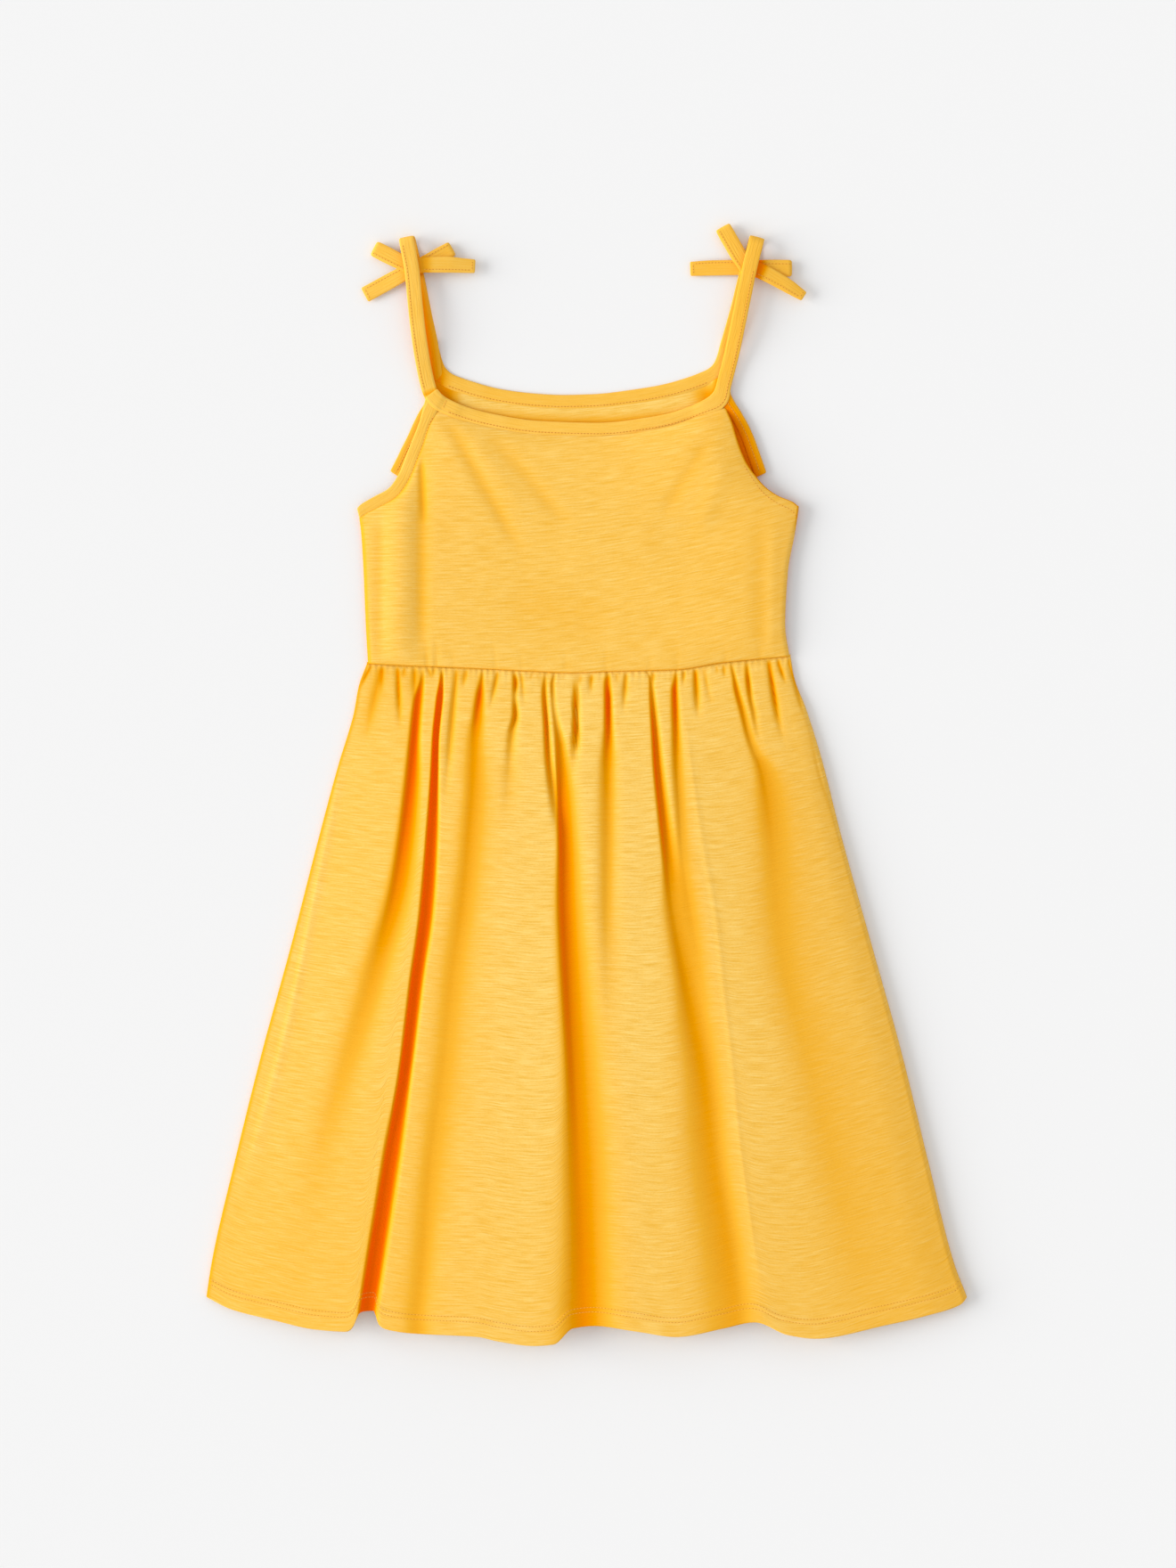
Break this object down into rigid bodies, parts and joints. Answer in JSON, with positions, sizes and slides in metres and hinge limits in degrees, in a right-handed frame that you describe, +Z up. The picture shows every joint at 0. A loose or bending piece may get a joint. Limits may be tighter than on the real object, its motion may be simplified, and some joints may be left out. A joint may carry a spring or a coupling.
{
  "type": "sundress",
  "caption": "Child's strappy sundress laid flat: bound square neck, shoulder straps tied in small bows, plain bodice and a gathered, flared skirt.",
  "frame": {"origin": "on the surface that the dress lies on, under the middle of its outline", "axes": "+Y runs from the hem to the straps, +Z up from the surface towards the front of the dress, +X across it to the right as seen from above"},
  "size_m": [0.5118, 0.7529, 0.0178],
  "materials": {
    "jersey": "slub cotton jersey, warm yellow, matt",
    "jersey_binding": "folded strips of the same jersey, warm yellow, matt"
  },
  "bodies": {
    "root": {"front_bodice": "jersey", "back_bodice": "jersey", "front_skirt": "jersey", "back_skirt": "jersey", "front_neck_binding": "jersey_binding", "back_neck_binding": "jersey_binding", "front_armhole_binding_left": "jersey_binding", "front_armhole_binding_right": "jersey_binding", "back_armhole_binding_left": "jersey_binding", "back_armhole_binding_right": "jersey_binding", "strap_left": "jersey_binding", "strap_right": "jersey_binding", "bow_left": "jersey_binding", "bow_right": "jersey_binding"}
  },
  "joints": []
}
